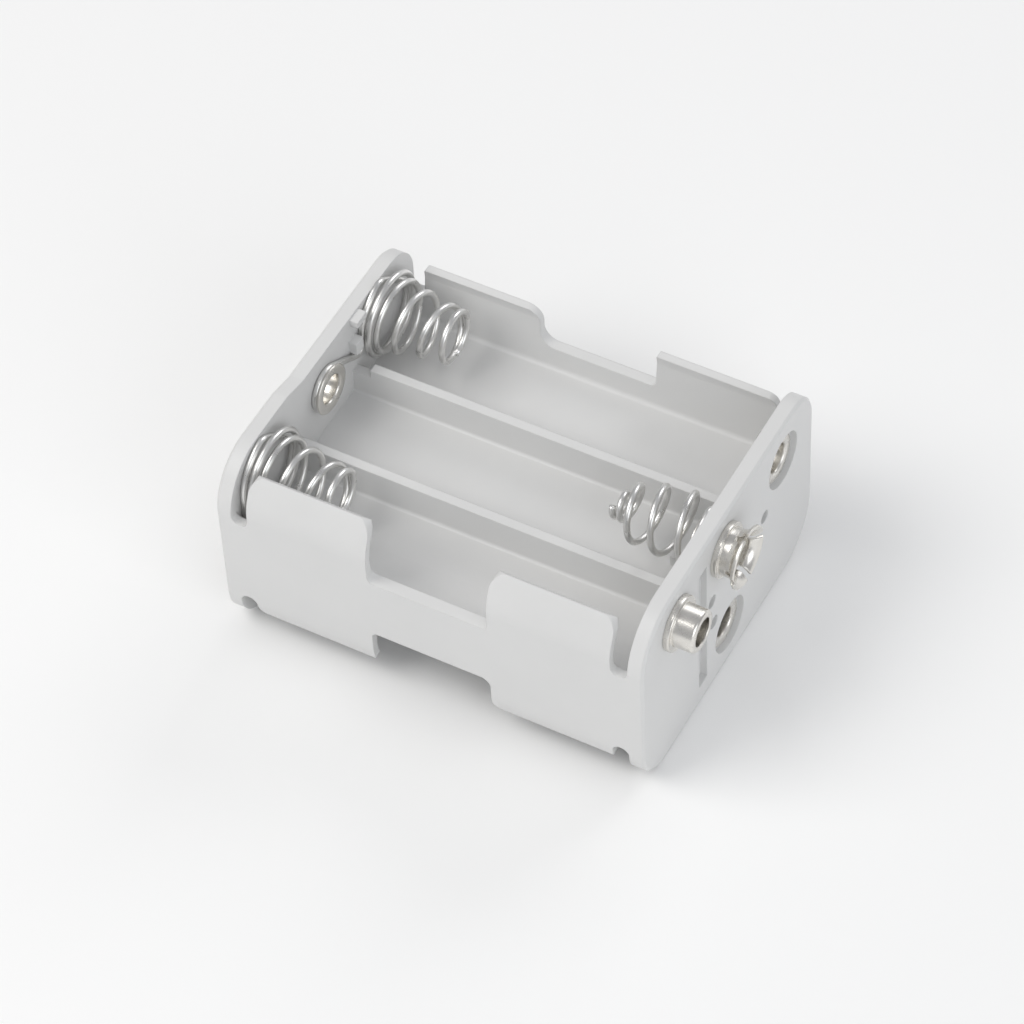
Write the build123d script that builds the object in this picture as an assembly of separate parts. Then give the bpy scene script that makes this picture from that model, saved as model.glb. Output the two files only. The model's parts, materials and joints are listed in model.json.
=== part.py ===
from build123d import *
import os
from math import acos, atan2, ceil, cos, degrees, hypot, radians, sin, sqrt

# A holder for six AA cells, three above and three below one shared floor, with a pair of
# nine-volt snap terminals on its right end. All lengths are in millimetres.
# While it is modelled, x runs along the cells, y from front to back, z up, and the origin
# is the middle of the moulding. On writing, it is set on the floor and centred.

# The cells and the room they need
cell_diameter = 14.5
cell_length = 50.5
cell_gap = 0.2
cell_clearance = 0.1
contact_room = 4.2
cell_proud = 0.9

# The moulding
side_wall = 1.05
floor_thickness = 1.2
end_wall = 2.15
soft_corner = 7.5
tight_corner = 5.5
plate_edge = 0.35
step_drop = 0.8
step_front = -8.2
step_back = -4.4
ridge_width = 1.3
ridge_reach = 5.5
ridge_foot = 0.45
foot_thickening = 0.8
foot_radius = 0.7
slit = 2.3
gap_left = -8.3
gap_right = 8.3

# The four side walls: how far each curls round its cell (degrees), the height of its low
# middle, the foot of its end slits, and the radii of its corners from left to right
front_top = {"wrap": 45, "cradle": True, "rail": 4.9, "slit_foot": 6.1,
             "corners": (2.0, 2.2, 0.9, 0.6, 2.0, 2.0)}
back_top = {"wrap": 10, "cradle": False, "rail": 3.9, "slit_foot": 4.9,
            "corners": (0.5, 2.4, 2.2, 0.8, 0.3, 1.7)}
front_bottom = {"wrap": 18, "cradle": False, "rail": 5.0, "slit_foot": 7.9,
                "corners": (2.0, 0.3, 0.8, 2.2, 2.4, 0.3)}
back_bottom = {"wrap": 45, "cradle": True, "rail": 4.9, "slit_foot": 6.1,
               "corners": (2.0, 2.2, 0.9, 0.9, 2.2, 2.0)}

# Small moulded features
notch_length = 2.7
notch_depth = 1.3
tail_slot = 1.3
lug_depth = 1.2
lug_upper = ((-7.6, 4.3), (-5.3, 5.3))
lug_lower = ((-8.3, 0.0), (-6.6, 1.9))
prop_length = 5.6
prop_width = 1.0
prop_gap = 0.5
groove_width = 2.2
groove_top = 10.3
groove_bottom = -11.1
groove_depth = 0.9
dimple_diameter = 1.9
dimple_depth = 1.2
dimple_back = (9.6, 2.55)
dimple_upper = (-4.8, 1.9)
dimple_lower = (-4.3, -2.6)

# Spring wire
wire = 0.8
seat_gap = 0.05
bend_radius = 1.1
tail_drop = 2.5
through_drop = 1.8
flat_share = 0.5
loop_sweep = 285
cone_base = 5.9
cone_tip = 3.25
cone_turns = 4.6
cone_rise = 0.15
cone_end = 5.4
cone_free = 11.1
coil_base = 5.6
coil_waist = 4.8
coil_neck = 4.3
coil_tip = 1.9
coil_free = 13.4
coil_steps = 12
wire_sides = 6

# Riveted contacts
eyelet_bore = 4.4
eyelet_sheet = 0.3
eyelet_flange = 6.9
eyelet_roll = 6.2
recess_diameter = 7.8
recess_depth = 0.9
hole_clearance = 0.05

# Snap terminals
snap_spacing = 12.7
stud_offset = 0.3
snap_rise = 0.8
snap_sheet = 0.35
snap_flange = 7.4
snap_bead = 0.9
bead_bevel = 0.35
snap_corner = 0.35
stud_diameter = 5.7
stud_mouth = 3.8
stud_reach = 3.6
stud_bevel = 0.45
socket_bore = 5.6
socket_lip = 7.5
socket_reach = 3.4
socket_waist = 1.9
waist_lag = 0.3
lip_bevel = 0.1
petal_start = 1.7
petal_slot = 0.9
petal_turn = 7
petal_count = 6
rivet_barrel = 3.1
rivet_flange = 6.9
rivet_roll = 4.2

# Worked out from the sizes above
pitch = cell_diameter + cell_gap
cradle_radius = cell_diameter / 2 + cell_clearance
outer_radius = cradle_radius + side_wall
row_height = floor_thickness / 2 + cradle_radius
inner_length = cell_length + contact_room
length = inner_length + 2 * end_wall
width = 2 * (pitch + outer_radius)
half_inner = inner_length / 2
plate_height = 2 * (row_height + cell_diameter / 2 - cell_proud)
snap_height = row_height + snap_rise
stud_y = stud_offset - pitch
socket_y = stud_y + snap_spacing
reach = max(stud_reach, socket_reach)
on_floor = Pos(-reach / 2, 0, plate_height / 2)
wire_plane = wire / 2 + seat_gap
flange_seat = wire + 2 * seat_gap
eyelet_barrel = eyelet_bore / 2 + eyelet_sheet
web = end_wall - recess_depth
slot_height = row_height - sqrt(cradle_radius**2 - (cone_base + tail_slot / 2) ** 2)


def box_between(low, high):
    size = [high[i] - low[i] for i in range(3)]
    middle = [(high[i] + low[i]) / 2 for i in range(3)]
    return Pos(*middle) * Box(*size)


def at_point(shape, x, y):
    return shape.vertices().filter_by(lambda v: abs(v.X - x) < 1e-4 and abs(v.Y - y) < 1e-4)


def tube(x, y, z, radius, depth):
    # A round bar along x, from x by the signed depth
    middle = x + depth / 2
    return Pos(middle, y, z) * Rot(0, 90, 0) * Cylinder(radius, abs(depth))


# Which plate and bay each piece stands in: side is -1 for the left plate and 1 for the
# right, row is 1 above the floor and -1 below it
def bay_point(side, y, row):
    return (side * half_inner, y, row * row_height)


eyelets = {
    "eyelet_top_middle": (-1, 0, 1),
    "eyelet_top_back": (1, pitch, 1),
    "eyelet_bottom_front": (-1, -pitch, -1),
    "eyelet_bottom_middle": (1, 0, -1),
    "eyelet_bottom_back": (-1, pitch, -1),
}


# End plates, with two soft and two tight corners
def end_plate(side, drop):
    half_width, half_height = width / 2, plate_height / 2
    back_height = half_height - drop
    points = [(-half_width, -half_height), (half_width, -half_height), (half_width, back_height)]
    if drop > 0:
        points += [(step_back, back_height), (step_front, half_height)]
    points += [(-half_width, half_height)]
    outline = make_face(Polyline(*points, close=True))
    for x, y, radius in (
        (-half_width, half_height, soft_corner),
        (half_width, -half_height, soft_corner),
        (half_width, back_height, tight_corner),
        (-half_width, -half_height, tight_corner),
    ):
        outline = fillet(at_point(outline, x, y), radius)
    if drop > 0:
        outline = fillet(at_point(outline, step_back, back_height), 2 * drop)
        outline = fillet(at_point(outline, step_front, half_height), 2 * drop)
    start = half_inner if side > 0 else -half_inner - end_wall
    plate = extrude(Plane.YZ.offset(start) * outline, end_wall)
    outer_face = plate.faces().sort_by(Axis.X)[-1 if side > 0 else 0]
    return chamfer(outer_face.edges(), plate_edge)


# One side wall in its front, upper place: a section along the bays, trimmed to tabs
def wall_section(wall):
    tip = 180 - wall["wrap"]
    arc_out = CenterArc((0, 0), outer_radius, tip, wall["wrap"])
    down = Line((-outer_radius, 0), (-outer_radius, -row_height))
    under = Line((-outer_radius, -row_height), (0, -row_height))
    rise = Line((0, -row_height), (0, -cradle_radius))
    if wall["cradle"]:
        arc_in = CenterArc((0, 0), cradle_radius, tip, 270 - tip)
        tip_line = Line(arc_out @ 0, arc_in @ 0)
        return make_face(Wire([arc_out, down, under, rise, arc_in, tip_line]))
    arc_in = CenterArc((0, 0), cradle_radius, tip, wall["wrap"])
    foot = foot_thickening - cradle_radius
    slope = Line((-cradle_radius, 0), (foot, -cradle_radius))
    bed = Line((foot, -cradle_radius), (0, -cradle_radius))
    tip_line = Line(arc_out @ 0, arc_in @ 0)
    face = make_face(Wire([arc_out, down, under, rise, bed, slope, arc_in, tip_line]))
    return fillet(at_point(face, foot, -cradle_radius), foot_radius)


def wall_outline(wall):
    top = row_height + outer_radius * sin(radians(wall["wrap"]))
    rail, foot = wall["rail"], wall["slit_foot"]
    tab_end = half_inner - slit
    points = [(-half_inner, 0), (-half_inner, top), (gap_left, top), (gap_left, rail),
              (gap_right, rail), (gap_right, top), (half_inner, top), (half_inner, 0)]
    face = make_face(Polyline(*points, close=True))
    for side in (-1, 1):
        x = side * (half_inner - slit / 2)
        height = top + slit - foot - slit / 2
        face -= Pos(x, foot + slit / 2 + height / 2) * Rectangle(slit, height)
        face -= Pos(x, foot + slit / 2) * Circle(slit / 2)
    places = ((-tab_end, top), (gap_left, top), (gap_left, rail),
              (gap_right, rail), (gap_right, top), (tab_end, top))
    side_limit = 0.9 * (top - foot - slit / 2)
    for (x, y), radius in zip(places, wall["corners"]):
        face = fillet(at_point(face, x, y), min(radius, side_limit))
    return face


def wall_solid(wall):
    section = Plane.YZ.offset(-half_inner) * Pos(-pitch, row_height) * wall_section(wall)
    body = extrude(section, inner_length)
    outline = Plane.XZ * wall_outline(wall)
    mask = extrude(outline, width / 2 + 1)
    return body & mask


# The floor between the outer cell axes, with its two ridges above and below
def floor_solid():
    section = Rectangle(2 * pitch, floor_thickness)
    for y in (-pitch / 2, pitch / 2):
        section += Pos(y, 0) * Rectangle(ridge_width, 2 * ridge_reach)
    for y in (-pitch / 2, pitch / 2):
        for side in (-1, 1):
            for row in (-1, 1):
                corner = (y + side * ridge_width / 2, row * floor_thickness / 2)
                section = fillet(at_point(section, *corner), ridge_foot)
    return extrude(Plane.YZ.offset(-half_inner) * section, inner_length)


# Lugs that keep a spring's tail in place, and the prop under a middle spring
def spring_lugs(side, y, row, u_sign):
    x, y, z = bay_point(side, y, row)
    inner = x - side * lug_depth
    lugs = Part()
    for (u0, v0), (u1, v1) in (lug_upper, lug_lower):
        ys = sorted((y + u_sign * u0, y + u_sign * u1))
        zs = sorted((z + row * v0, z + row * v1))
        xs = sorted((x, inner))
        lugs += box_between((xs[0], ys[0], zs[0]), (xs[1], ys[1], zs[1]))
    return lugs


def spring_prop(side, row):
    top = row_height - coil_waist - wire / 2 - prop_gap
    xs = sorted((side * half_inner, side * (half_inner - prop_length)))
    zs = sorted((row * floor_thickness / 2, row * top))
    return box_between((xs[0], -prop_width, zs[0]), (xs[1], 0, zs[1]))


def make_housing():
    body = floor_solid()
    body += wall_solid(front_top)
    body += mirror(wall_solid(back_top), about=Plane.XZ)
    body += mirror(wall_solid(front_bottom), about=Plane.XY)
    body += Rot(180, 0, 0) * wall_solid(back_bottom)
    body += end_plate(-1, step_drop)
    body += end_plate(1, 0)
    body += spring_lugs(-1, pitch, 1, 1)
    body += spring_lugs(-1, 0, -1, -1)
    body += spring_lugs(1, -pitch, -1, -1)
    body += spring_prop(1, 1)
    body += spring_prop(-1, -1)
    # Where a tail crosses a ridge, the ridge's end is lower
    for side, y, row in ((-1, pitch / 2, 1), (-1, pitch / 2, -1), (1, -pitch / 2, -1)):
        xs = sorted((side * half_inner, side * (half_inner - notch_length)))
        zs = sorted((row * (ridge_reach - notch_depth), row * (ridge_reach + 1)))
        ys = (y - ridge_width, y + ridge_width)
        body -= box_between((xs[0], ys[0], zs[0]), (xs[1], ys[1], zs[1]))
    # Two tails cross the floor through small slots beside the plates
    for side, y in ((-1, -pitch - cone_base), (1, pitch - cone_base)):
        xs = sorted((side * half_inner, side * (half_inner - tail_slot)))
        ys = (y - tail_slot / 2, y + tail_slot / 2)
        body -= box_between((xs[0], ys[0], -slot_height), (xs[1], ys[1], slot_height))
    for side, y, row in eyelets.values():
        x, y, z = bay_point(side, y, row)
        body -= tube(x, y, z, eyelet_barrel + hole_clearance, side * end_wall)
        outside = x + side * (end_wall + 1)
        body -= tube(outside, y, z, recess_diameter / 2, -side * (recess_depth + 1))
    for y in (stud_y, socket_y):
        body -= tube(half_inner, y, snap_height, rivet_barrel / 2 + hole_clearance, end_wall)
    outer_face = length / 2
    groove_y = -pitch / 2
    body -= box_between((outer_face - groove_depth, groove_y - groove_width / 2, groove_bottom),
                        (outer_face + 1, groove_y + groove_width / 2, groove_top))
    for y, z in (dimple_back, dimple_upper, dimple_lower):
        body -= tube(outer_face + 1, y, z, dimple_diameter / 2, -1 - dimple_depth)
    return body


# Springs, each bent from one wire: a loop under a rivet's flange, a tail, and the coil.
# Each is made in its own frame: x out of the plate, and the coil's axis through the origin
# of u, v. stations give the coil as turns, radius and height from the plate.
def coil_stations(kind):
    if kind == "cone":
        top = cone_free - wire / 2
        second = wire_plane + wire + seat_gap
        return [(flat_share, cone_base, wire_plane), (1.05, cone_base, second),
                (1.5, cone_base, second + cone_rise), (cone_turns, cone_tip, top),
                (cone_end, cone_tip, top)]
    top = coil_free - wire / 2
    neck = top - wire * 3
    return [(flat_share, coil_base, wire_plane), (1.15, coil_waist, 0.26 * neck),
            (3.2, coil_neck, 0.93 * neck), (3.75, coil_tip, neck + wire), (4.8, coil_tip, top)]


def between(stations, turn):
    for (t0, r0, h0), (t1, r1, h1) in zip(stations, stations[1:]):
        if turn <= t1:
            share = (turn - t0) / (t1 - t0)
            return r0 + share * (r1 - r0), h0 + share * (h1 - h0)
    return stations[-1][1:]


def flat_arc(centre, radius, start, turned):
    count = ceil(abs(turned) / 360 * coil_steps)
    angles = [radians(start + turned * i / count) for i in range(count + 1)]
    return [(wire_plane, centre[0] + radius * cos(a), centre[1] + radius * sin(a)) for a in angles]


# The route is short straight runs, so that a long wire stays light in facets
def spring_path(kind, loop_centre, loop_radius, corner):
    stations = coil_stations(kind)
    base = stations[0][1]
    away = hypot(corner[0] - loop_centre[0], corner[1] - loop_centre[1])
    facing = degrees(atan2(corner[1] - loop_centre[1], corner[0] - loop_centre[0]))
    tangent = facing + degrees(acos(loop_radius / away))
    loop = flat_arc(loop_centre, loop_radius, tangent + loop_sweep, -loop_sweep)
    bend = Vector(wire_plane, *corner)
    towards_loop = Vector(loop[-1]) - bend
    towards_coil = Vector(wire_plane, -base, 0) - bend
    cut = min(bend_radius, 0.5 * towards_coil.length)
    tail = [bend + towards_loop.normalized() * cut, bend + towards_coil.normalized() * cut]
    points = loop + tail + flat_arc((0, 0), base, 180, -360 * flat_share)
    last = stations[-1][0]
    count = round((last - flat_share) * coil_steps)
    for i in range(1, count + 1):
        turn = flat_share + (last - flat_share) * i / count
        radius, height = between(stations, turn)
        angle = radians(180 - 360 * turn)
        points.append((height, radius * cos(angle), radius * sin(angle)))
    return Polyline(*points)


def make_spring(kind, loop_centre, loop_radius, corner):
    path = spring_path(kind, loop_centre, loop_radius, corner)
    section = Plane(origin=path @ 0, z_dir=path % 0) * RegularPolygon(wire / 2, wire_sides)
    return sweep(section, path=path, transition=Transition.RIGHT)


# A loop's straight runs lie inside its radius, so it is that much wider than its rivet
run_share = cos(radians(180 / coil_steps))
loop_radius = (eyelet_barrel + wire / 2 + seat_gap) / run_share
rivet_loop = (rivet_barrel / 2 + wire / 2 + seat_gap) / run_share


def side_spring(kind, base):
    return make_spring(kind, (-pitch, 0), loop_radius, (-base, -tail_drop))


def through_spring():
    corner = (-cone_base, -row_height - through_drop)
    return make_spring("cone", (0, -2 * row_height), loop_radius, corner)


def socket_spring():
    corner = (-coil_base, snap_rise - rivet_loop)
    return make_spring("coil", (socket_y, snap_rise), rivet_loop, corner)


def flip_end(shape):
    return mirror(shape, about=Plane.YZ)


def make_springs():
    down = Rot(180, 0, 0)
    turned = Rot(0, 180, 0)
    return {
        "spring_top_back": Pos(*bay_point(-1, pitch, 1)) * side_spring("cone", cone_base),
        "spring_top_front": Pos(*bay_point(-1, -pitch, 1)) * through_spring(),
        "spring_top_middle": Pos(*bay_point(1, 0, 1)) * flip_end(socket_spring()),
        "spring_bottom_back": Pos(*bay_point(1, pitch, -1)) * turned * through_spring(),
        "spring_bottom_front": Pos(*bay_point(1, -pitch, -1)) * down * flip_end(side_spring("cone", cone_base)),
        "spring_bottom_middle": Pos(*bay_point(-1, 0, -1)) * down * side_spring("coil", coil_base),
    }


# Turned pieces are drawn as a half section, distance along the axis first, then radius
def turned_piece(points, bevels=()):
    face = make_face(Polyline(*points, close=True))
    for x, y, size in bevels:
        face = chamfer(at_point(face, x, y), size)
    return revolve(face, Axis.X)


# An eyelet: flange over the spring's loop, barrel through the plate, rolled in its recess
def make_eyelet():
    bore = eyelet_bore / 2
    front = flange_seat + eyelet_sheet
    back = -web - eyelet_sheet
    flange, roll = eyelet_flange / 2, eyelet_roll / 2
    return turned_piece([(back, bore), (back, roll - eyelet_sheet), (-web, roll),
                         (-web, eyelet_barrel), (flange_seat, eyelet_barrel),
                         (flange_seat, flange), (front, flange - eyelet_sheet), (front, bore)])


# A tubular rivet: flange inside the bay, its end rolled over the terminal's base
def make_rivet(seat):
    outer = rivet_barrel / 2
    inner = outer - eyelet_sheet
    front = seat + eyelet_sheet
    back = -end_wall - snap_sheet
    flange, roll = rivet_flange / 2, rivet_roll / 2
    end = back - eyelet_sheet
    return turned_piece([(end, inner), (end, roll - eyelet_sheet), (back, roll), (back, outer),
                         (seat, outer), (seat, flange), (front, flange - eyelet_sheet),
                         (front, inner)])


def make_stud():
    hole = rivet_barrel / 2 + hole_clearance
    outer = stud_diameter / 2
    inner = outer - snap_sheet
    flange, mouth = snap_flange / 2, stud_mouth / 2
    lip = stud_reach - snap_sheet
    points = [(0, hole), (0, flange), (snap_bead, flange), (snap_bead, outer),
              (stud_reach, outer), (stud_reach, mouth), (lip, mouth), (lip, inner),
              (snap_sheet, inner), (snap_sheet, hole)]
    bevels = [(snap_bead, flange, bead_bevel), (snap_sheet, inner, snap_corner),
              (stud_reach, outer, stud_bevel)]
    return turned_piece(points, bevels)


# The socket's crown flares from its waist to a lip, slotted into sprung petals
def make_socket():
    hole = rivet_barrel / 2 + hole_clearance
    inner = socket_bore / 2
    outer = inner + snap_sheet
    flange, lip = snap_flange / 2, socket_lip / 2
    inner_waist = socket_waist + waist_lag
    points = [(0, hole), (0, flange), (snap_bead, flange), (snap_bead, outer),
              (socket_waist, outer), (socket_reach - snap_sheet, lip),
              (socket_reach, lip - lip_bevel), (inner_waist, inner), (snap_sheet, inner),
              (snap_sheet, hole)]
    crown = turned_piece(points, [(snap_bead, flange, bead_bevel), (snap_sheet, inner, snap_corner)])
    low = (petal_start, -petal_slot / 2, -socket_lip)
    high = (socket_reach + 1, petal_slot / 2, socket_lip)
    for i in range(petal_count // 2):
        crown -= Rot(petal_turn + 360 / petal_count * i, 0, 0) * box_between(low, high)
    return crown


def place_eyelet(side, y, row):
    shape = make_eyelet()
    if side > 0:
        shape = flip_end(shape)
    return Pos(*bay_point(side, y, row)) * shape


def make_parts():
    parts = {"housing": make_housing()}
    parts.update(make_springs())
    for name, place in eyelets.items():
        parts[name] = place_eyelet(*place)
    outside = length / 2
    parts["stud_terminal"] = Pos(outside, stud_y, snap_height) * make_stud()
    parts["socket_terminal"] = Pos(outside, socket_y, snap_height) * make_socket()
    parts["stud_rivet"] = Pos(half_inner, stud_y, snap_height) * flip_end(make_rivet(0))
    parts["socket_rivet"] = Pos(half_inner, socket_y, snap_height) * flip_end(make_rivet(flange_seat))
    return parts


os.makedirs("parts", exist_ok=True)
for name, shape in make_parts().items():
    export_step(on_floor * shape, "parts/" + name + ".step")
    print(name, "volume", round(shape.volume, 2))
print("length", length + reach, "width", width, "height", plate_height)
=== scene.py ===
import bpy
import bmesh
import json
from math import acos, atan2, cos, degrees, hypot, radians, sin, tan
from mathutils import Matrix, Vector


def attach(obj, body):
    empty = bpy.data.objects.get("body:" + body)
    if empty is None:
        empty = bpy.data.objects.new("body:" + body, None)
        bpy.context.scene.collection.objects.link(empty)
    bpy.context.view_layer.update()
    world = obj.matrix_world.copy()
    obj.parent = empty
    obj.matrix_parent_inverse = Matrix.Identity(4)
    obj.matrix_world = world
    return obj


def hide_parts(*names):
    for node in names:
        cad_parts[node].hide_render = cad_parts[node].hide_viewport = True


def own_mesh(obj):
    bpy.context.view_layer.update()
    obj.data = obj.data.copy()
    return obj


# A battery holder of grey moulded plastic with nickel-plated springs, eyelets and snap
# terminals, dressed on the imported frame. Lengths in the dictionaries are in millimetres,
# measured from the middle of the moulding, with x along the cells and z up.

mm = 0.001

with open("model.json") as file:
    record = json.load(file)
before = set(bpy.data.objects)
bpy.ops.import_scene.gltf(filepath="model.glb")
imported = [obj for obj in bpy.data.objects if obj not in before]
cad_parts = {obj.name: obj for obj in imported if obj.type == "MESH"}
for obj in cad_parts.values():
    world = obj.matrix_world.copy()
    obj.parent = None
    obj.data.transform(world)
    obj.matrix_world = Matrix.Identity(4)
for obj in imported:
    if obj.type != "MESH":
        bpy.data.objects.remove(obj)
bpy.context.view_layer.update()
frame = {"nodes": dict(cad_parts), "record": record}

holder = {
    "halfInner": 27.35,
    "endWall": 2.15,
    "plateHeight": 28.6,
    "reach": 3.6,
    "pitch": 14.7,
    "rowHeight": 7.95,
}
middle = Vector((-holder["reach"] / 2, 0, holder["plateHeight"] / 2))


# Objects

def addMesh(name, mesh, material, smooth=True):
    piece = bpy.data.objects.new(name, mesh)
    bpy.context.scene.collection.objects.link(piece)
    mesh.materials.clear()
    mesh.materials.append(material)
    if smooth:
        mesh.shade_smooth()
    return piece


def finishMesh(shape, name):
    bmesh.ops.remove_doubles(shape, verts=shape.verts, dist=1e-7)
    bmesh.ops.recalc_face_normals(shape, faces=shape.faces)
    mesh = bpy.data.meshes.new(name)
    shape.to_mesh(mesh)
    shape.free()
    return mesh


# Node groups that several finishes share

def newGroup(name, inputs, outputs):
    group = bpy.data.node_groups.new(name, "ShaderNodeTree")
    for label, kind, value in inputs:
        item = group.interface.new_socket(name=label, in_out="INPUT", socket_type=kind)
        if value is not None:
            item.default_value = value
    for label, kind in outputs:
        group.interface.new_socket(name=label, in_out="OUTPUT", socket_type=kind)
    return group


def addNode(tree, kind, x=0, y=0, **values):
    node = tree.nodes.new(kind)
    node.location = (x, y)
    for key, value in values.items():
        setattr(node, key, value)
    return node


def makeMouldGrain():
    # The fine even grain and slow tone drift of a moulded surface
    group = newGroup("mouldGrain",
                     [("Vector", "NodeSocketVector", None),
                      ("Grain Scale", "NodeSocketFloat", 2600.0),
                      ("Drift Scale", "NodeSocketFloat", 60.0)],
                     [("Grain", "NodeSocketFloat"), ("Drift", "NodeSocketFloat")])
    into = addNode(group, "NodeGroupInput", -600, 0)
    out = addNode(group, "NodeGroupOutput", 400, 0)
    grain = addNode(group, "ShaderNodeTexNoise", -200, 120)
    grain.inputs["Detail"].default_value = 3.0
    grain.inputs["Roughness"].default_value = 0.6
    drift = addNode(group, "ShaderNodeTexNoise", -200, -160)
    drift.inputs["Detail"].default_value = 4.0
    drift.inputs["Roughness"].default_value = 0.55
    link = group.links.new
    link(into.outputs["Vector"], grain.inputs["Vector"])
    link(into.outputs["Vector"], drift.inputs["Vector"])
    link(into.outputs["Grain Scale"], grain.inputs["Scale"])
    link(into.outputs["Drift Scale"], drift.inputs["Scale"])
    link(grain.outputs["Fac"], out.inputs["Grain"])
    link(drift.outputs["Fac"], out.inputs["Drift"])
    return group


def makeEdgeMask():
    # White where the surface turns sharply: the rounded normal differs from the true one
    group = newGroup("edgeMask",
                     [("Width", "NodeSocketFloat", 0.0003), ("Gain", "NodeSocketFloat", 3.0)],
                     [("Mask", "NodeSocketFloat"), ("Normal", "NodeSocketVector")])
    into = addNode(group, "NodeGroupInput", -800, 0)
    out = addNode(group, "NodeGroupOutput", 500, 0)
    round_ = addNode(group, "ShaderNodeBevel", -560, 60, samples=6)
    flat = addNode(group, "ShaderNodeNewGeometry", -560, -160)
    match = addNode(group, "ShaderNodeVectorMath", -340, 0, operation="DOT_PRODUCT")
    turn = addNode(group, "ShaderNodeMath", -160, 0, operation="SUBTRACT")
    turn.inputs[0].default_value = 1.0
    gain = addNode(group, "ShaderNodeMath", 20, 0, operation="MULTIPLY", use_clamp=True)
    link = group.links.new
    link(into.outputs["Width"], round_.inputs["Radius"])
    link(round_.outputs["Normal"], match.inputs[0])
    link(flat.outputs["Normal"], match.inputs[1])
    link(match.outputs["Value"], turn.inputs[1])
    link(turn.outputs["Value"], gain.inputs[0])
    link(into.outputs["Gain"], gain.inputs[1])
    link(gain.outputs["Value"], out.inputs["Mask"])
    link(round_.outputs["Normal"], out.inputs["Normal"])
    return group


groups = {"mouldGrain": makeMouldGrain(), "edgeMask": makeEdgeMask()}


def useGroup(tree, name, x, y, **values):
    node = addNode(tree, "ShaderNodeGroup", x, y)
    node.node_tree = groups[name]
    for key, value in values.items():
        node.inputs[key].default_value = value
    return node


def newMaterial(name):
    material = bpy.data.materials.new(name)
    material.use_nodes = True
    tree = material.node_tree
    tree.nodes.clear()
    out = addNode(tree, "ShaderNodeOutputMaterial", 700, 0)
    shader = addNode(tree, "ShaderNodeBsdfPrincipled", 400, 0)
    tree.links.new(shader.outputs["BSDF"], out.inputs["Surface"])
    return material, tree, shader


def rampBetween(tree, x, y, low, high, start=0.0, end=1.0):
    ramp = addNode(tree, "ShaderNodeValToRGB", x, y)
    ramp.color_ramp.elements[0].position = start
    ramp.color_ramp.elements[1].position = end
    ramp.color_ramp.elements[0].color = low
    ramp.color_ramp.elements[1].color = high
    return ramp


def rangeBetween(tree, x, y, low, high, start=0.0, end=1.0):
    node = addNode(tree, "ShaderNodeMapRange", x, y)
    node.inputs["From Min"].default_value = start
    node.inputs["From Max"].default_value = end
    node.inputs["To Min"].default_value = low
    node.inputs["To Max"].default_value = high
    return node


plasticFinish = {
    "tone": (0.70, 0.70, 0.693, 1),
    "toneDark": (0.675, 0.675, 0.669, 1),
    # painted highlight: the lighter tone laid along sharp edges
    "edgeHighlightTone": (0.79, 0.79, 0.785, 1),
    "roughLow": 0.36,
    "roughHigh": 0.50,
    "grainScale": 2400.0,
    "grainDepth": 0.000012,
    "driftScale": 55.0,
    "edgeWidth": 0.00022,
    "edgeGain": 2.2,
    "bump": 0.45,
}


def makePlastic():
    values = plasticFinish
    material, tree, shader = newMaterial("greyMouldedPlastic")
    link = tree.links.new
    place = addNode(tree, "ShaderNodeTexCoord", -900, 0)
    grain = useGroup(tree, "mouldGrain", -660, 60, **{"Grain Scale": values["grainScale"],
                                                      "Drift Scale": values["driftScale"]})
    edge = useGroup(tree, "edgeMask", -660, -220, Width=values["edgeWidth"], Gain=values["edgeGain"])
    tone = rampBetween(tree, -380, 220, values["toneDark"], values["tone"], 0.35, 0.65)
    # Painted highlight: a lighter tone mixed in along sharp edges, where rounded edges would catch the
    # light
    highlightMix = addNode(tree, "ShaderNodeMix", -60, 200, data_type="RGBA")
    highlightMix.inputs["B"].default_value = values["edgeHighlightTone"]
    highlightAmount = rangeBetween(tree, -380, -60, 0.0, 0.5, 0.05, 0.6)
    rough = rangeBetween(tree, -60, -60, values["roughLow"], values["roughHigh"], 0.3, 0.7)
    bump = addNode(tree, "ShaderNodeBump", 100, -320)
    bump.inputs["Strength"].default_value = values["bump"]
    bump.inputs["Distance"].default_value = values["grainDepth"]
    link(place.outputs["Object"], grain.inputs["Vector"])
    link(grain.outputs["Drift"], tone.inputs["Fac"])
    link(edge.outputs["Mask"], highlightAmount.inputs["Value"])
    link(highlightAmount.outputs["Result"], highlightMix.inputs["Factor"])
    link(tone.outputs["Color"], highlightMix.inputs["A"])
    link(highlightMix.outputs["Result"], shader.inputs["Base Color"])
    link(grain.outputs["Drift"], rough.inputs["Value"])
    link(rough.outputs["Result"], shader.inputs["Roughness"])
    link(grain.outputs["Grain"], bump.inputs["Height"])
    link(edge.outputs["Normal"], bump.inputs["Normal"])
    link(bump.outputs["Normal"], shader.inputs["Normal"])
    shader.inputs["IOR"].default_value = 1.49
    shader.inputs["Specular IOR Level"].default_value = 0.45
    shader.inputs["Subsurface Weight"].default_value = 0.04
    shader.inputs["Subsurface Radius"].default_value = (0.0006, 0.0006, 0.0006)
    return material


metalFinish = {
    "terminalNickel": {"tone": (0.80, 0.78, 0.74, 1), "dark": (0.70, 0.68, 0.64, 1),
                       "rough": (0.22, 0.32), "scale": 240.0, "bump": 0.0000015},
    "springNickel": {"tone": (0.82, 0.815, 0.80, 1), "dark": (0.72, 0.715, 0.70, 1),
                     "rough": (0.26, 0.36), "scale": 420.0, "bump": 0.0000015},
}


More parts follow.
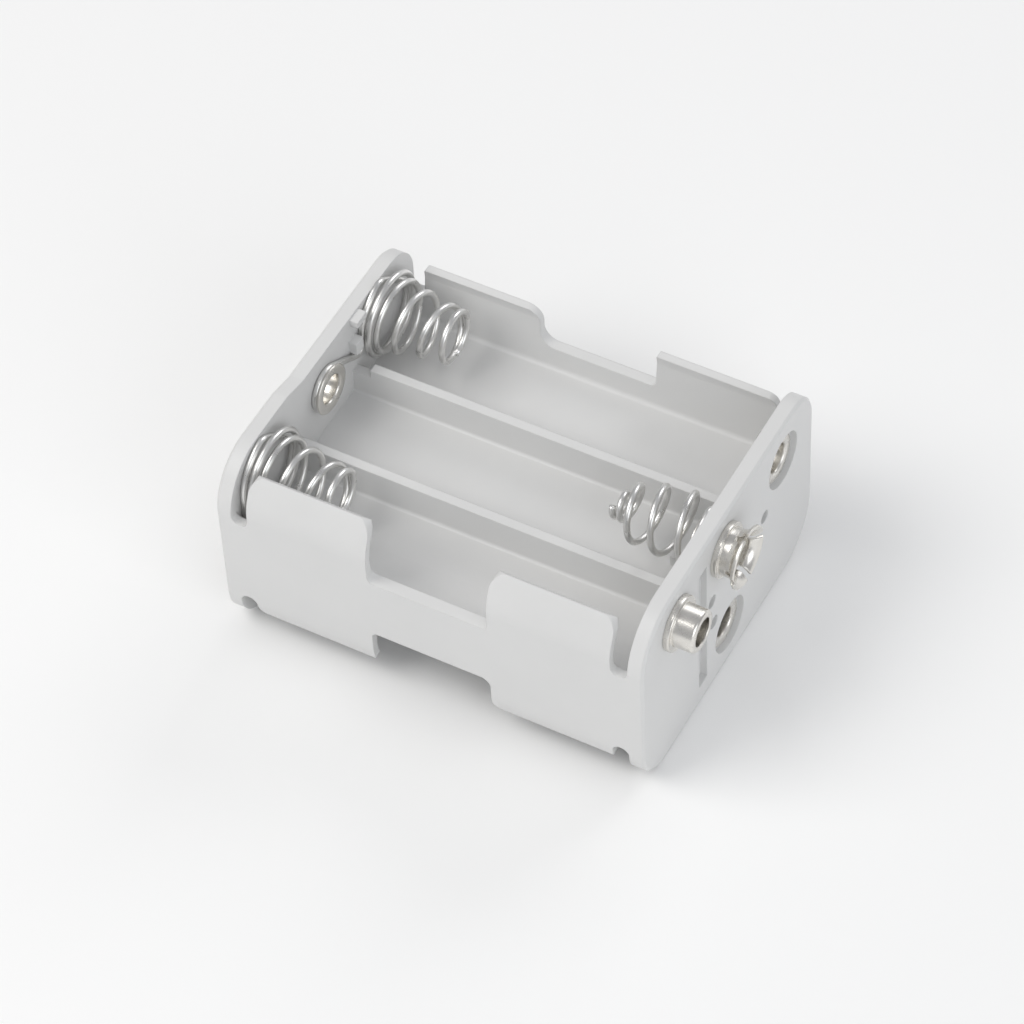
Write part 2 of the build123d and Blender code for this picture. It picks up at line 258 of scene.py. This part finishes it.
def makeMetal(name):
    values = metalFinish[name]
    material, tree, shader = newMaterial(name)
    link = tree.links.new
    place = addNode(tree, "ShaderNodeTexCoord", -900, 0)
    grain = useGroup(tree, "mouldGrain", -660, 60, **{"Grain Scale": values["scale"] * 12,
                                                      "Drift Scale": values["scale"]})
    edge = useGroup(tree, "edgeMask", -660, -220, Width=0.00012, Gain=2.0)
    tone = rampBetween(tree, -380, 220, values["dark"], values["tone"], 0.25, 0.6)
    rough = rangeBetween(tree, -60, -60, values["rough"][0], values["rough"][1], 0.3, 0.7)
    bump = addNode(tree, "ShaderNodeBump", 100, -320)
    bump.inputs["Strength"].default_value = 0.35
    bump.inputs["Distance"].default_value = values["bump"]
    link(place.outputs["Object"], grain.inputs["Vector"])
    link(grain.outputs["Drift"], tone.inputs["Fac"])
    link(tone.outputs["Color"], shader.inputs["Base Color"])
    link(grain.outputs["Drift"], rough.inputs["Value"])
    link(rough.outputs["Result"], shader.inputs["Roughness"])
    link(grain.outputs["Grain"], bump.inputs["Height"])
    link(edge.outputs["Normal"], bump.inputs["Normal"])
    link(bump.outputs["Normal"], shader.inputs["Normal"])
    shader.inputs["Metallic"].default_value = 1.0
    return material


materials = {
    "plastic": makePlastic(),
    "terminal": makeMetal("terminalNickel"),
    "spring": makeMetal("springNickel"),
}

nodeFinish = {"plastic": "plastic", "spring_steel": "spring", "nickel": "terminal"}
for entry in frame["record"]["subparts"]:
    node = frame["nodes"][entry["node"]]
    node.data.materials.clear()
    node.data.materials.append(materials[nodeFinish[entry["material_slot"]]])
print("materials made:", len(bpy.data.materials))


# Turned pieces: a profile of (distance along the axis, radius) spun round the x axis.
# softened gives the rounding radius of some corners by their number.

turned = {
    "around": 96,
    "cornerSegments": 4,
    "creaseAngle": 50,
}


def drawProfile(shape, profile, softened):
    corners = [shape.verts.new((x * mm, r * mm, 0)) for x, r in profile]
    for a, b in zip(corners, corners[1:] + corners[:1]):
        shape.edges.new((a, b))
    for radius in sorted(set(softened.values())):
        chosen = [corners[i] for i in softened if softened[i] == radius]
        bmesh.ops.bevel(shape, geom=chosen, offset=radius * mm, offset_type="OFFSET",
                        segments=turned["cornerSegments"], profile=0.5, affect="VERTICES",
                        clamp_overlap=True, material=-1)


def spinProfile(shape, angle, steps):
    bmesh.ops.spin(shape, geom=shape.verts[:] + shape.edges[:], cent=(0, 0, 0), axis=(1, 0, 0),
                   dvec=(0, 0, 0), angle=radians(angle), steps=steps, use_merge=angle == 360)


def standAt(shape, facing, place):
    spot = (Vector(place) + middle) * mm
    turn = Matrix.Translation(spot) @ Matrix.Diagonal((facing, 1, 1, 1))
    bmesh.ops.transform(shape, matrix=turn, verts=shape.verts)


def addTurned(name, shape, replaced):
    piece = addMesh(name, finishMesh(shape, name), materials["terminal"])
    piece.data.set_sharp_from_angle(angle=radians(turned["creaseAngle"]))
    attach(piece, "holder")
    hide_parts(replaced)


def spunPiece(name, profile, softened, facing, place, replaced):
    shape = bmesh.new()
    drawProfile(shape, profile, softened)
    spinProfile(shape, 360, turned["around"])
    standAt(shape, facing, place)
    addTurned(name, shape, replaced)


# Eyelets: the flange lies over the spring's loop, the far end is rolled in its recess

eyelet = {
    "bore": 2.0,
    "barrel": 2.5,
    "sheet": 0.3,
    "flange": 3.45,
    "roll": 3.35,
    "seat": 0.9,
    "web": 1.25,
    "throat": 0.35,
    "edge": 0.14,
}
# Which plate (1 is the right one), how far back, and which row (1 is the upper one)
eyeletPlaces = {
    "eyelet_top_middle": (-1, 0, 1),
    "eyelet_top_back": (1, holder["pitch"], 1),
    "eyelet_bottom_front": (-1, -holder["pitch"], -1),
    "eyelet_bottom_middle": (1, 0, -1),
    "eyelet_bottom_back": (-1, holder["pitch"], -1),
}


def makeEyelet(name, side, y, row):
    v = eyelet
    barrel, front, back = v["barrel"], v["seat"] + v["sheet"], -v["web"] - v["sheet"]
    profile = [(back, v["bore"]), (back, v["roll"]), (-v["web"], v["roll"]), (-v["web"], barrel),
               (v["seat"], barrel), (v["seat"], v["flange"]), (front, v["flange"]), (front, v["bore"])]
    softened = {0: v["throat"], 1: v["edge"], 2: v["edge"], 5: v["edge"], 6: v["edge"], 7: v["throat"]}
    place = (side * holder["halfInner"], y, row * holder["rowHeight"])
    spunPiece(name + "_pressed", profile, softened, -side, place, name)


for name, place in eyeletPlaces.items():
    makeEyelet(name, *place)
print("eyelets made")


# Snap terminals: a plain stud, and a socket whose crown is slotted into four flared petals

snap = {
    "studY": -14.4,
    "socketY": -1.7,
    "rise": 0.8,
    "sheet": 0.35,
    "hole": 1.6,
    "flange": 3.7,
    "bead": 0.9,
    "stud": 2.85,
    "studMouth": 1.9,
    "studReach": 3.6,
    "bore": 2.8,
    "waist": 0.2,
    "socketReach": 3.4,
}
petals = {
    "count": 4,
    "turn": 4,
    "slot": 0.8,
    "start": 1.7,
    "overlap": 0.02,
    "lip": 4.2,
    "segments": 22,
    "rimAngle": 60,
    "rimRadius": 0.06,
}
rivet = {
    "barrel": 1.55,
    "sheet": 0.3,
    "flange": 3.45,
    "roll": 2.1,
}
snapHeight = holder["rowHeight"] + snap["rise"]
outerFace = holder["halfInner"] + holder["endWall"]


def makeStud():
    v = snap
    inner, lip = v["stud"] - v["sheet"], v["studReach"] - v["sheet"]
    waist = v["bead"] - v["waist"]
    profile = [(0, v["hole"]), (0, v["flange"]), (v["bead"], v["flange"]), (waist, v["stud"] + 0.42),
               (waist, v["stud"]), (v["studReach"], v["stud"]), (v["studReach"], v["studMouth"]),
               (lip, v["studMouth"]), (lip, inner), (v["sheet"], inner), (v["sheet"], v["hole"])]
    softened = {1: 0.12, 2: 0.28, 3: 0.12, 4: 0.12, 5: 0.5, 6: 0.16, 7: 0.1, 8: 0.2, 9: 0.2}
    spunPiece("stud_drawn", profile, softened, 1, (outerFace, v["studY"], snapHeight), "stud_terminal")


def makePetal(outer):
    # One petal, from the barrel's top out to the lip
    v = petals
    half = degrees(v["slot"] / 2 / outer)
    sweep = 360 / v["count"] - 2 * half
    bore, reach = snap["bore"], snap["socketReach"]
    foot, lip = v["start"] - v["overlap"], v["lip"]
    outline = [(foot, outer), (2.1, outer + 0.05), (2.42, outer + 0.22), (2.68, outer + 0.56),
               (2.86, lip - 0.14), (3.0, lip), (3.26, lip - 0.01), (reach, lip - 0.2),
               (3.16, outer + 0.44), (2.88, outer + 0.02), (2.5, bore + 0.12), (2.1, bore + 0.01),
               (foot, bore)]
    shape = bmesh.new()
    drawProfile(shape, outline, {})
    bmesh.ops.contextual_create(shape, geom=shape.edges[:])
    bmesh.ops.rotate(shape, cent=(0, 0, 0), verts=shape.verts,
                     matrix=Matrix.Rotation(radians(v["turn"] + half), 3, "X"))
    spinProfile(shape, sweep, v["segments"])
    bmesh.ops.remove_doubles(shape, verts=shape.verts, dist=1e-7)
    ends = [e for e in shape.edges if len(e.link_faces) == 1]
    bmesh.ops.holes_fill(shape, edges=ends, sides=40)
    bmesh.ops.recalc_face_normals(shape, faces=shape.faces)
    sharp = radians(v["rimAngle"])
    rims = [e for e in shape.edges if len(e.link_faces) == 2 and e.calc_face_angle(0) > sharp]
    bmesh.ops.bevel(shape, geom=rims, offset=v["rimRadius"] * mm, offset_type="OFFSET", segments=2,
                    profile=0.5, affect="EDGES", clamp_overlap=True, material=-1)
    mesh = bpy.data.meshes.new("petal")
    shape.to_mesh(mesh)
    shape.free()
    return mesh


def makeSocket():
    v = snap
    outer = v["bore"] + v["sheet"]
    waist = v["bead"] - v["waist"]
    shape = bmesh.new()
    profile = [(0, v["hole"]), (0, v["flange"]), (v["bead"], v["flange"]), (waist, outer + 0.3),
               (waist, outer), (petals["start"], outer), (petals["start"], v["bore"]),
               (v["sheet"], v["bore"]), (v["sheet"], v["hole"])]
    drawProfile(shape, profile, {1: 0.12, 2: 0.28, 3: 0.1, 4: 0.1, 7: 0.2})
    spinProfile(shape, 360, turned["around"])
    petalMesh = makePetal(outer)
    for i in range(petals["count"]):
        known = len(shape.verts)
        shape.from_mesh(petalMesh)
        shape.verts.ensure_lookup_table()
        bmesh.ops.rotate(shape, cent=(0, 0, 0), verts=shape.verts[known:],
                         matrix=Matrix.Rotation(radians(360 / petals["count"] * i), 3, "X"))
    bpy.data.meshes.remove(petalMesh)
    standAt(shape, 1, (outerFace, v["socketY"], snapHeight))
    addTurned("socket_drawn", shape, "socket_terminal")


def makeRivet(name, y, seat):
    v = rivet
    inner, front = v["barrel"] - v["sheet"], seat + v["sheet"]
    back = -holder["endWall"] - snap["sheet"]
    profile = [(back - v["sheet"], inner), (back - v["sheet"], v["roll"]), (back, v["roll"]),
               (back, v["barrel"]), (seat, v["barrel"]), (seat, v["flange"]), (front, v["flange"]),
               (front, inner)]
    softened = {0: 0.28, 1: 0.14, 2: 0.1, 5: 0.12, 6: 0.14, 7: 0.28}
    spunPiece(name + "_pressed", profile, softened, -1, (holder["halfInner"], y, snapHeight), name)


makeStud()
makeSocket()
makeRivet("stud_rivet", snap["studY"], 0)
makeRivet("socket_rivet", snap["socketY"], eyelet["seat"])
print("snap terminals and rivets made")


# Springs, each one bent wire: a loop under a rivet's flange, a tail, and the coil.
# The stations give a coil as turns, radius and height above the plate.

wire = {
    "thickness": 0.86,
    "plane": 0.45,
    "bend": 1.1,
    "loopSweep": 285,
    "eyeletLoop": 2.95,
    "rivetLoop": 2.1,
    "tailDrop": 2.5,
    "throughDrop": 1.8,
    "pressed": 3.0,
    "arcStep": 10,
    "bendSteps": 6,
    "turnSteps": 36,
    "sides": 6,
}
cone = {
    "base": 5.9,
    "free": 11.1,
    "stations": [(0.5, 5.9, 0.45), (1.0, 5.75, 1.33), (2.0, 4.95, 2.05), (3.0, 4.3, 4.3),
                 (4.0, 3.75, 7.6), (4.5, 3.5, 9.55), (4.8, 3.42, 10.5), (5.05, 3.38, 10.66),
                 (5.75, 3.35, 10.67)],
}
coil = {
    "base": 5.2,
    "free": 13.4,
    "lean": 0.6,
    "stations": [(0.5, 5.15, 0.6), (1.25, 4.4, 3.5), (2.25, 4.05, 7.3), (3.2, 3.55, 10.3),
                 (3.7, 2.05, 11.5), (4.0, 1.65, 11.85), (5.1, 1.6, 12.9)],
}


def arcPoints(centre, radius, start, sweep, height):
    count = round(abs(sweep) / wire["arcStep"])
    angles = [radians(start + sweep * i / count) for i in range(count + 1)]
    return [Vector((height, centre[0] + radius * cos(a), centre[1] + radius * sin(a))) for a in angles]


def bendPoints(a, b, c, radius, height):
    # A rounded corner at b, in the plane of the plate
    into, out = (a - b).normalized(), (c - b).normalized()
    half = into.angle(out) / 2
    cut = radius / tan(half)
    centre = b + (into + out).normalized() * (radius / sin(half))
    first, last = b + into * cut - centre, b + out * cut - centre
    spokes = [centre + first.slerp(last, i / wire["bendSteps"]) for i in range(wire["bendSteps"] + 1)]
    return [Vector((height, p.x, p.y)) for p in spokes]


def easedBetween(stations, turn):
    # Radius and height at a turn, on a smooth curve through the stations
    last = len(stations) - 1
    i = max([k for k in range(last) if stations[k][0] <= turn] or [0])
    a, b = stations[i], stations[i + 1]
    before, after = stations[max(i - 1, 0)], stations[min(i + 2, last)]
    span = b[0] - a[0]
    share = (turn - a[0]) / span
    found = []
    for k in (1, 2):
        leave = (b[k] - before[k]) / (b[0] - before[0]) * span
        arrive = (after[k] - a[k]) / (after[0] - a[0]) * span
        found.append(a[k] * (1 + 2 * share) * (1 - share) ** 2 + leave * share * (1 - share) ** 2
                     + b[k] * share ** 2 * (3 - 2 * share) + arrive * share ** 2 * (share - 1))
    return found


def springRoute(kind, loopCentre, loopRadius, corner):
    stations = kind["stations"]
    plane = wire["plane"]
    away = hypot(corner[0] - loopCentre[0], corner[1] - loopCentre[1])
    facing = degrees(atan2(corner[1] - loopCentre[1], corner[0] - loopCentre[0]))
    tangent = facing + degrees(acos(loopRadius / away))
    points = arcPoints(loopCentre, loopRadius, tangent + wire["loopSweep"], -wire["loopSweep"], plane)
    leave = points[-1]
    points += bendPoints(Vector((leave.y, leave.z, 0)), Vector((*corner, 0)), Vector((-kind["base"], 0, 0)),
                         wire["bend"], plane)
    points += arcPoints((0, 0), kind["base"], 180, -90, plane)
    first, last = stations[0][0], stations[-1][0]
    steps = round((last - first) * wire["turnSteps"])
    for i in range(steps + 1):
        turn = first + (last - first) * i / steps
        radius, height = easedBetween(stations, turn)
        angle = radians(180 - 360 * turn)
        drift = -kind.get("lean", 0) * height / kind["free"]
        points.append(Vector((height, radius * cos(angle) + drift, radius * sin(angle))))
    return points


def makeSpring(name, side, y, row, kind, loopCentre, loopRadius, corner, flipY, flipZ):
    route = springRoute(kind, loopCentre, loopRadius, corner)
    curve = bpy.data.curves.new(name, "CURVE")
    curve.dimensions = "3D"
    curve.bevel_depth = wire["thickness"] / 2 * mm
    curve.bevel_resolution = wire["sides"]
    curve.resolution_u = 2
    curve.use_fill_caps = True
    line = curve.splines.new("NURBS")
    line.points.add(len(route) - 1)
    plate = Vector((side * holder["halfInner"], y, row * holder["rowHeight"]))
    for point, spot in zip(route, line.points):
        placed = plate + Vector((-side * point.x, flipY * point.y, flipZ * point.z))
        spot.co = (*((placed + middle) * mm), 1)
    line.order_u = 4
    line.use_endpoint_u = True
    drawn = bpy.data.objects.new(name + "_route", curve)
    mesh = bpy.data.meshes.new_from_object(drawn)
    bpy.data.objects.remove(drawn)
    bpy.data.curves.remove(curve)
    shape = bmesh.new()
    shape.from_mesh(mesh)
    bpy.data.meshes.remove(mesh)
    piece = addMesh(name + "_wound", finishMesh(shape, name + "_wound"), materials["spring"])
    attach(piece, name)
    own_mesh(piece)
    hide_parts(name)


pitch, rowHeight = holder["pitch"], holder["rowHeight"]
sideLoop = ((-pitch, 0), wire["eyeletLoop"])
throughLoop = ((0, -2 * rowHeight), wire["eyeletLoop"])
throughCorner = (-cone["base"], -rowHeight - wire["throughDrop"])
rivetLoop = ((snap["socketY"], snap["rise"]), wire["rivetLoop"])
rivetCorner = (-coil["base"], snap["rise"] - wire["rivetLoop"])
coneCorner = (-cone["base"], -wire["tailDrop"])
coilCorner = (-coil["base"], -wire["tailDrop"])
makeSpring("spring_top_back", -1, pitch, 1, cone, *sideLoop, coneCorner, 1, 1)
makeSpring("spring_top_front", -1, -pitch, 1, cone, *throughLoop, throughCorner, 1, 1)
makeSpring("spring_top_middle", 1, 0, 1, coil, *rivetLoop, rivetCorner, 1, 1)
makeSpring("spring_bottom_back", 1, pitch, -1, cone, *throughLoop, throughCorner, 1, -1)
makeSpring("spring_bottom_front", 1, -pitch, -1, cone, *sideLoop, coneCorner, -1, -1)
makeSpring("spring_bottom_middle", -1, 0, -1, coil, *sideLoop, coilCorner, -1, -1)
print("springs made")


# Floor, light and camera

stageValues = {
    "floorSize": 4.0,
    "floorTone": (0.93, 0.93, 0.925, 1),
    "worldTone": (0.96, 0.97, 1.0, 1),
    "worldStrength": 0.45,
}


def makeFloor():
    material, tree, shader = newMaterial("paleFloor")
    shader.inputs["Base Color"].default_value = stageValues["floorTone"]
    shader.inputs["Roughness"].default_value = 0.7
    shader.inputs["Specular IOR Level"].default_value = 0.2
    shape = bmesh.new()
    bmesh.ops.create_grid(shape, x_segments=1, y_segments=1, size=stageValues["floorSize"] / 2)
    floor = addMesh("floor", finishMesh(shape, "floor"), material, smooth=False)
    floor.location.z = -0.00005


lampValues = {
    "key": {"place": (-0.30, -0.26, 0.52), "size": 0.42, "power": 2.1, "tone": (1.0, 0.985, 0.96)},
    "fill": {"place": (0.50, -0.30, 0.30), "size": 0.50, "power": 1.2, "tone": (0.96, 0.98, 1.0)},
    "back": {"place": (0.10, 0.55, 0.38), "size": 0.40, "power": 1.0, "tone": (1.0, 1.0, 1.0)},
}


def makeLamps():
    target = Vector((0, 0, 0.012))
    for name, values in lampValues.items():
        lamp = bpy.data.lights.new(name, "AREA")
        lamp.shape = "SQUARE"
        lamp.size = values["size"]
        lamp.energy = values["power"]
        lamp.color = values["tone"]
        lampObject = bpy.data.objects.new(name, lamp)
        lampObject.location = values["place"]
        aim = target - Vector(values["place"])
        lampObject.rotation_euler = aim.to_track_quat("-Z", "Y").to_euler()
        bpy.context.scene.collection.objects.link(lampObject)
    world = bpy.data.worlds.new("studio")
    world.use_nodes = True
    background = world.node_tree.nodes["Background"]
    background.inputs["Color"].default_value = stageValues["worldTone"]
    background.inputs["Strength"].default_value = stageValues["worldStrength"]
    bpy.context.scene.world = world


cameraValues = {
    "azimuth": 30.7315,
    "elevation": 50.1115,
    "roll": -3.2252,
    "distance": 550.1641,
    "focalPixels": 4405.6356,
    "slideX": -0.7581,
    "slideY": -1.2894,
    "frameWidth": 1024,
    "sensor": 36.0,
}


def makeCamera():
    values = cameraValues
    azimuth, elevation, roll = (radians(values[k]) for k in ("azimuth", "elevation", "roll"))
    back = Vector((sin(azimuth) * cos(elevation), -cos(azimuth) * cos(elevation), sin(elevation)))
    level = Vector((cos(azimuth), sin(azimuth), 0))
    upright = back.cross(level)
    right = level * cos(roll) + upright * sin(roll)
    up = upright * cos(roll) - level * sin(roll)
    data = bpy.data.cameras.new("camera")
    data.sensor_width = values["sensor"]
    data.lens = values["focalPixels"] / values["frameWidth"] * values["sensor"]
    data.clip_start, data.clip_end = 0.01, 20
    camera = bpy.data.objects.new("camera", data)
    spot = (middle + back * values["distance"] + right * values["slideX"] + up * values["slideY"]) * mm
    turn = Matrix((right, up, back)).transposed().to_4x4()
    camera.matrix_world = Matrix.Translation(spot) @ turn
    bpy.context.scene.collection.objects.link(camera)
    bpy.context.scene.camera = camera


makeFloor()
makeLamps()
makeCamera()
bpy.context.scene.view_settings.view_transform = "Standard"
bpy.context.scene.view_settings.look = "None"
print("floor, lamps and camera set")
